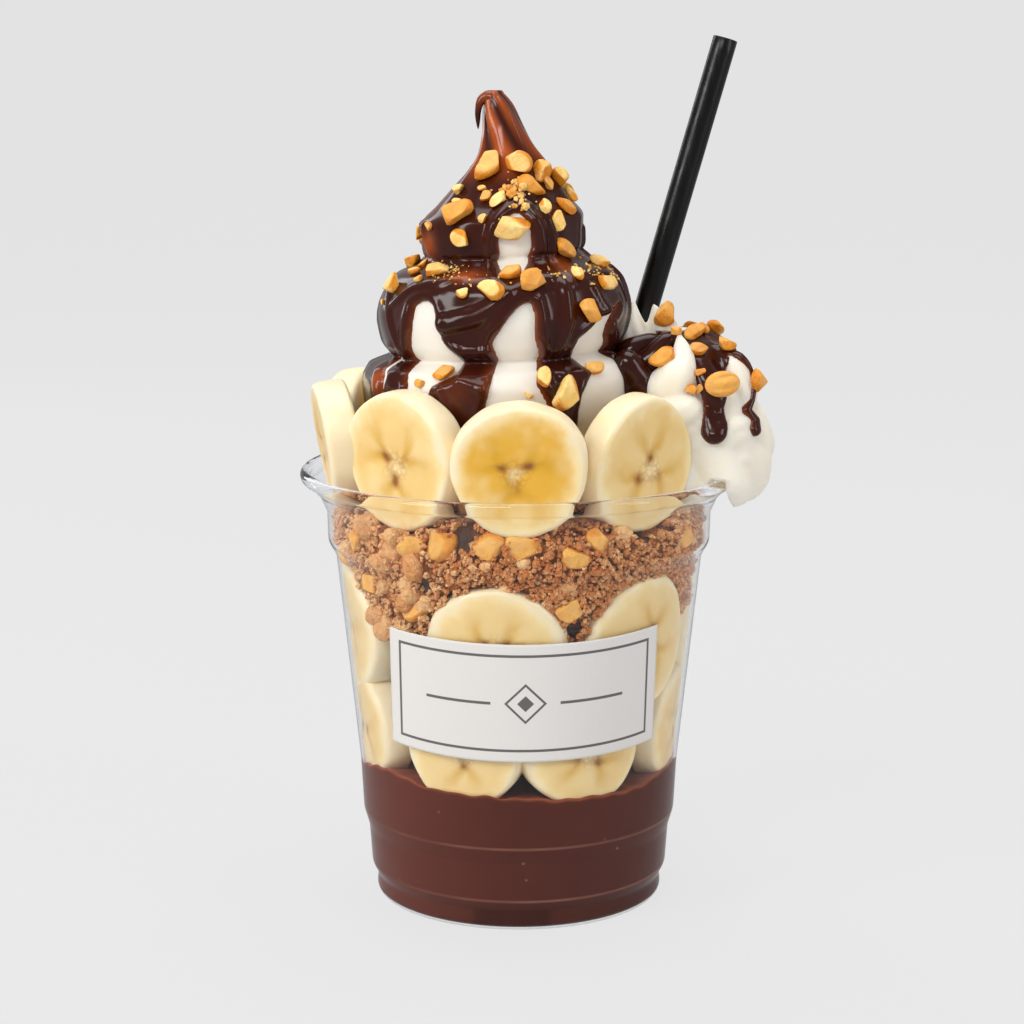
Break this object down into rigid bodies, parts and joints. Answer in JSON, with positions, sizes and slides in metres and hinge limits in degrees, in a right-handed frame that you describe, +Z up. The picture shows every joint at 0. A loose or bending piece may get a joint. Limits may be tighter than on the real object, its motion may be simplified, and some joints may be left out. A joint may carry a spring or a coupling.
{
  "type": "banana split",
  "caption": "Layered banana split in a clear cup: mousse, banana slices and crumble under a sauced soft-serve swirl, with whipped cream and a straw.",
  "frame": {"origin": "middle of the flat pad under the cup's base, on the surface it stands on", "axes": "+Z up along the cup's axis; +X to the right as seen from the label, towards the whipped cream and the leaning straw; -Y out of the label, to the front"},
  "size_m": [0.1063, 0.0976, 0.1918],
  "materials": {
    "cup_plastic": "clear glossy thermoformed plastic",
    "label_paper": "white matt sticker with thin dark frame lines",
    "chocolate_mousse": "smooth milk chocolate mousse with fine bubbles, soft sheen where it touches the cup",
    "banana": "moist cut banana, pale rim and yellower middle with a three-armed star of seeds",
    "crumble": "dry golden brown biscuit crumbs with roasted peanut pieces",
    "soft_serve": "glossy dark chocolate sauce and chopped roasted peanuts over smooth white soft-serve",
    "whipped_cream": "soft satin whipped cream with runs of glossy chocolate sauce and peanut pieces",
    "straw_plastic": "black plastic, satin with long highlights"
  },
  "bodies": {
    "root": {"cup": "cup_plastic", "label": "label_paper", "chocolate_mousse": "chocolate_mousse", "lower_banana_slice_1": "banana", "lower_banana_slice_2": "banana", "lower_banana_slice_3": "banana", "lower_banana_slice_4": "banana", "lower_banana_slice_5": "banana", "lower_banana_slice_6": "banana", "lower_banana_slice_7": "banana", "middle_banana_slice_1": "banana", "middle_banana_slice_2": "banana", "middle_banana_slice_3": "banana", "middle_banana_slice_4": "banana", "middle_banana_slice_5": "banana", "middle_banana_slice_6": "banana", "crumble": "crumble", "rim_banana_slice_1": "banana", "rim_banana_slice_2": "banana", "rim_banana_slice_3": "banana", "rim_banana_slice_4": "banana", "rim_banana_slice_5": "banana", "rim_banana_slice_6": "banana", "rim_banana_slice_7": "banana", "rim_banana_slice_8": "banana", "ice_cream": "soft_serve", "whipped_cream": "whipped_cream", "straw": "straw_plastic"}
  },
  "joints": []
}
